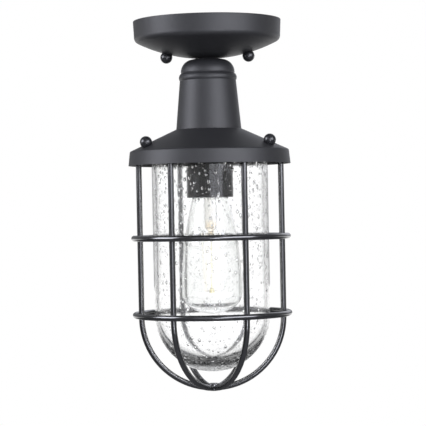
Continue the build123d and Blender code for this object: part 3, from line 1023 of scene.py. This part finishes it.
class CEILINGLIGHT_OT_lamp(bpy.types.Operator):
    """Blows the bulb and finishes the stem, filament and base of the lamp"""

    bl_idname = "ceiling_light.lamp"
    bl_label = "Make the lamp"

    def execute(self, context):
        lamp = context.scene.ceiling_light_lamp
        base_gap, shoulder = 0.45 * MILLIMETRE, 0.4 * MILLIMETRE
        plug = base_high.x - base_gap
        inner = bulb_outline(lamp, lamp.wall)
        outer = bulb_outline(lamp, 0.0)
        neck = [(plug - lamp.wall, base_low.z + shoulder), (plug - lamp.wall, bulb_high.z)]
        sleeve = [(plug, bulb_high.z), (plug, base_low.z)]
        points, faces = turned(inner + neck + sleeve + list(reversed(outer)), turns=128)
        mesh = bpy.data.meshes.new("lamp_bulb")
        mesh.from_pydata(points, [], faces)
        outward(mesh)
        clear = blown(
            "bulb_glass", WHITE, ripple=0.012, bloom=0.01, depth=0.00002, tint=lamp.tint, density=lamp.density
        )
        piece("lamp_bulb", mesh, clear, "lamp", "lamp_glass", "bulb_glass")
        finish(self.stem(), "bulb_stem")
        base = streaked("lamp_base", (0.74, 0.72, 0.66, 1.0), roughness=0.3)
        finish(base, "bulb_base", "bulb_contact")
        insulator = grained(
            "black_insulator",
            (0.015, 0.015, 0.016, 1.0),
            roughness=0.2,
            grain=0.001,
            grain_depth=0.1,
            cloud_depth=0.1,
            bump=0.00003,
            coat=0.5,
        )
        finish(insulator, "bulb_insulator")
        support = streaked("support_wire", (0.62, 0.58, 0.5, 1.0), roughness=0.4)
        finish(support, "bulb_support_wires")
        finish(self.filament(lamp), "bulb_filament")
        return {"FINISHED"}

    def stem(self):
        """Clear glass that is amber at the pressed end, with a painted glow of the lit filament: pale yellow
        along the rod, yellowest at its lower end.
        """
        material = blown("stem_glass", (1.0, 0.98, 0.94, 1.0), ripple=0.003, bloom=0.06, depth=0.00006)
        tree = material.node_tree
        shader = next(node for node in tree.nodes if node.type == "BSDF_PRINCIPLED")
        place = put(tree, "ShaderNodeTexCoord").outputs["Object"]
        height = put(tree, "ShaderNodeSeparateXYZ", None, {0: place}).outputs[2]
        inputs = {"Value": height, "From Min": stem_low.z, "From Max": stem_high.z}
        along = put(tree, "ShaderNodeMapRange", None, inputs).outputs["Result"]
        ramp = put(tree, "ShaderNodeValToRGB", None, {0: along})
        # The yellow bands along the rod are painted glow from the lit filament; the amber band marks the
        # pressed end.
        bands = ramp.color_ramp.elements
        bands[0].color = (1.0, 0.94, 0.62, 1.0)
        bands[1].color = (1.0, 0.995, 0.985, 1.0)
        for share, colour in (
            (0.09, (1.0, 0.985, 0.82, 1.0)),
            (0.52, (1.0, 0.985, 0.86, 1.0)),
            (0.56, (0.92, 0.78, 0.56, 1.0)),
            (0.62, (0.97, 0.91, 0.8, 1.0)),
            (0.7, (1.0, 0.99, 0.975, 1.0)),
        ):
            bands.new(share).color = colour
        tree.links.new(ramp.outputs[0], shader.inputs["Base Color"])
        return material

    def filament(self, lamp):
        """A lit wire that glows in fine coils."""
        material, tree, shader = blank("lit_filament")
        place = put(tree, "ShaderNodeTexCoord").outputs["Object"]
        coils = put(tree, "ShaderNodeTexWave", {"bands_direction": "Z"}, {"Vector": place, "Scale": 900.0})
        level = spread(tree, coils.outputs["Fac"], low=0.92, high=1.04)
        shader.inputs["Base Color"].default_value = (0.4, 0.33, 0.25, 1.0)
        shader.inputs["Roughness"].default_value = 0.5
        shader.inputs["Emission Strength"].default_value = lamp.strength
        tree.links.new(shaded(tree, lamp_glow(tree, lamp), level), shader.inputs["Emission Color"])
        return material


def lamp_glow(tree, lamp):
    """The glow's colour as a socket."""
    node = put(tree, "ShaderNodeRGB")
    node.outputs[0].default_value = lamp.glow
    return node.outputs[0]


# Studio
PANELS = {
    "left_panel": {"azimuth": -70, "elevation": 22, "distance": 1.0, "size": (0.62, 0.6), "radiance": 4.4},
    "right_panel": {"azimuth": 41, "elevation": 18, "distance": 1.2, "size": (1.08, 0.6), "radiance": 3.8},
    "front_fill": {"azimuth": -10, "elevation": 15, "distance": 1.6, "size": (0.8, 0.4), "radiance": 1.1},
    "front_strip": {"azimuth": 14, "elevation": -7, "distance": 2.0, "size": (0.9, 0.8), "radiance": 1.6},
    "low_panel": {"azimuth": 10, "elevation": -14, "distance": 1.6, "size": (0.25, 0.25), "radiance": 7.0},
    "rear_panel": {"azimuth": 165, "elevation": 20, "distance": 1.4, "size": (1.2, 0.8), "radiance": 0.8},
}


def softbox(name, target, colour, azimuth, elevation, distance, size, radiance):
    """A soft panel that faces the target from an angle round it, not seen by the camera itself."""
    turn, tilt = math.radians(azimuth), math.radians(elevation)
    way = Vector((math.sin(turn) * math.cos(tilt), -math.cos(turn) * math.cos(tilt), math.sin(tilt)))
    place = target + way * distance
    data = bpy.data.lights.new(name, "AREA")
    data.shape = "RECTANGLE"
    data.size, data.size_y = size
    data.energy = radiance * math.pi * size[0] * size[1]
    data.color = colour
    panel = bpy.data.objects.new(name, data)
    bpy.context.scene.collection.objects.link(panel)
    panel.location = place
    panel.rotation_euler = (target - place).to_track_quat("-Z", "Y").to_euler()
    panel.visible_camera = False
    return panel


def smooth(tree, value, start, end, low, high):
    """A value eased from one level to another between two limits."""
    inputs = {"Value": value, "From Min": start, "From Max": end, "To Min": low, "To Max": high}
    return put(tree, "ShaderNodeMapRange", {"interpolation_type": "SMOOTHSTEP"}, inputs).outputs["Result"]


def sight(tree, steepness):
    """Rays that see the background straight or through glass, those through glass, and their level.

    Through glass the background is brightest near the horizon, and a ray that glass turned back sees
    it dimmer.
    """
    path = put(tree, "ShaderNodeLightPath").outputs
    plain = calc(tree, "LESS_THAN", path["Diffuse Depth"], 0.5)
    glassy = calc(tree, "MULTIPLY", path["Is Transmission Ray"], plain)
    turned_back = calc(tree, "GREATER_THAN", path["Glossy Depth"], 0.5)
    bright = smooth(tree, steepness, start=0.32, end=0.75, low=1.2, high=1.05)
    through = calc(tree, "MULTIPLY", bright, spread(tree, turned_back, low=1.0, high=0.8))
    unstraight = calc(tree, "SUBTRACT", 1.0, path["Is Camera Ray"])
    level = calc(tree, "ADD", path["Is Camera Ray"], calc(tree, "MULTIPLY", through, unstraight))
    return calc(tree, "MAXIMUM", path["Is Camera Ray"], glassy), glassy, level


class CEILINGLIGHT_OT_studio(bpy.types.Operator):
    """Sets up the camera, the soft lights, the pale floor and the white background"""

    bl_idname = "ceiling_light.studio"
    bl_label = "Set up the studio"

    def execute(self, context):
        studio = context.scene.ceiling_light_studio
        target = Vector(studio.target)
        self.camera(context, studio, target)
        self.floor(context, studio)
        self.world(context)
        for name, panel in PANELS.items():
            softbox(name, target, studio.light_colour, **panel)
        context.scene.view_settings.view_transform = "Standard"
        return {"FINISHED"}

    def camera(self, context, studio, target):
        """A level camera in front of the light, with the photograph's slight roll."""
        data = bpy.data.cameras.new("photo_view")
        data.sensor_width = 36.0
        data.lens = studio.lens
        camera = bpy.data.objects.new("photo_view", data)
        context.scene.collection.objects.link(camera)
        turn = Matrix.Rotation(studio.azimuth, 4, "Z")
        place = turn @ Vector((0, -studio.distance, 0)) + target
        level = Matrix.Rotation(math.radians(90), 4, "X") @ Matrix.Rotation(-studio.roll, 4, "Z")
        camera.matrix_world = Matrix.Translation(place) @ turn @ level
        context.scene.camera = camera

    def floor(self, context, studio):
        """A pale disc that fades into the white background away from the light."""
        steps, radius = 96, 14.0
        shape = bmesh.new()
        bmesh.ops.create_circle(shape, cap_ends=True, segments=steps, radius=radius)
        mesh = bpy.data.meshes.new("floor")
        shape.to_mesh(mesh)
        shape.free()
        floor = bpy.data.objects.new("floor", mesh)
        context.scene.collection.objects.link(floor)
        floor.location.z = studio.floor
        material, tree, shader = blank("pale_floor")
        output = next(node for node in tree.nodes if node.type == "OUTPUT_MATERIAL")
        place = put(tree, "ShaderNodeTexCoord").outputs["Object"]
        away = put(tree, "ShaderNodeVectorMath", {"operation": "LENGTH"}, {0: place}).outputs["Value"]
        fade = smooth(tree, away, start=0.5, end=2.2, low=0.0, high=1.0)
        drop = studio.target[2] - studio.floor
        seen, glassy, level = sight(tree, calc(tree, "SINE", calc(tree, "ARCTAN2", drop, away)))
        grain = noise_at(tree, place, scale=60.0, detail=3.0)
        pale = spread(tree, grain, low=0.86, high=0.9)
        tone = calc(tree, "MULTIPLY", pale, spread(tree, seen, low=0.3, high=1.0))
        colour = put(tree, "ShaderNodeCombineColor", None, {0: tone, 1: tone, 2: tone}).outputs[0]
        tree.links.new(colour, shader.inputs["Base Color"])
        shader.inputs["Roughness"].default_value = 0.9
        lighting = spread(tree, seen, low=1.5, high=0.0)
        strength = calc(tree, "ADD", calc(tree, "MULTIPLY", level, seen), lighting)
        white = put(tree, "ShaderNodeEmission", None, {"Strength": strength})
        behind = put(tree, "ShaderNodeSeparateXYZ", None, {0: place}).outputs[1]
        far_back = smooth(tree, behind, start=1.0, end=2.8, low=0.0, high=1.0)
        unseen = calc(tree, "MULTIPLY", far_back, calc(tree, "SUBTRACT", 1.0, seen))
        share = calc(tree, "MULTIPLY", calc(tree, "MAXIMUM", fade, glassy), seen)
        share = calc(tree, "ADD", share, unseen)
        mix = put(tree, "ShaderNodeMixShader", None, {0: share, 1: shader.outputs[0], 2: white.outputs[0]})
        tree.links.new(mix.outputs[0], output.inputs["Surface"])
        mesh.materials.append(material)

    def world(self, context):
        """White where it is seen straight or through glass, and dim where it lights the object."""
        world = bpy.data.worlds.new("studio")
        world.use_nodes = True
        context.scene.world = world
        tree = world.node_tree
        tree.nodes.clear()
        way = put(tree, "ShaderNodeTexCoord").outputs["Generated"]
        axes = put(tree, "ShaderNodeSeparateXYZ", None, {0: way}).outputs
        seen, _, level = sight(tree, calc(tree, "ABSOLUTE", axes[2]))
        white = put(tree, "ShaderNodeBackground", None, {"Color": WHITE, "Strength": level})
        behind = smooth(tree, axes[1], start=0.3, end=0.85, low=0.14, high=0.3)
        dim = put(tree, "ShaderNodeBackground", None, {"Color": (0.95, 0.97, 1.0, 1.0), "Strength": behind})
        mix = put(tree, "ShaderNodeMixShader", None, {0: seen, 1: dim.outputs[0], 2: white.outputs[0]})
        put(tree, "ShaderNodeOutputWorld", None, {"Surface": mix.outputs[0]})


class CEILINGLIGHT_PT_sidebar(bpy.types.Panel):
    """Settings and steps of the ceiling light"""

    bl_label = "Ceiling light"
    bl_idname = "CEILINGLIGHT_PT_sidebar"
    bl_space_type = "VIEW_3D"
    bl_region_type = "UI"
    bl_category = "Ceiling light"

    def draw(self, context):
        for name, group in SETTINGS.items():
            box = self.layout.box()
            settings = getattr(context.scene, name)
            for key in group.__annotations__:
                box.prop(settings, key)
        for operator in OPERATORS:
            self.layout.operator(operator.bl_idname)


SETTINGS = {
    "ceiling_light_coat": CEILINGLIGHT_PG_coat,
    "ceiling_light_jar": CEILINGLIGHT_PG_jar,
    "ceiling_light_lamp": CEILINGLIGHT_PG_lamp,
    "ceiling_light_studio": CEILINGLIGHT_PG_studio,
}
OPERATORS = (
    CEILINGLIGHT_OT_coated_metal,
    CEILINGLIGHT_OT_guard_welds,
    CEILINGLIGHT_OT_hardware,
    CEILINGLIGHT_OT_glass_jar,
    CEILINGLIGHT_OT_lamp,
    CEILINGLIGHT_OT_studio,
)


def register():
    for group in SETTINGS.values():
        bpy.utils.register_class(group)
    for operator in OPERATORS:
        bpy.utils.register_class(operator)
    bpy.utils.register_class(CEILINGLIGHT_PT_sidebar)
    for name, group in SETTINGS.items():
        setattr(bpy.types.Scene, name, PointerProperty(type=group))


def unregister():
    for name in SETTINGS:
        delattr(bpy.types.Scene, name)
    bpy.utils.unregister_class(CEILINGLIGHT_PT_sidebar)
    for operator in reversed(OPERATORS):
        bpy.utils.unregister_class(operator)
    for group in reversed(SETTINGS.values()):
        bpy.utils.unregister_class(group)


def main():
    register()
    bpy.ops.ceiling_light.coated_metal()
    bpy.ops.ceiling_light.guard_welds()
    bpy.ops.ceiling_light.hardware()
    bpy.ops.ceiling_light.glass_jar()
    bpy.ops.ceiling_light.lamp()
    bpy.ops.ceiling_light.studio()


if __name__ == "__main__":
    main()
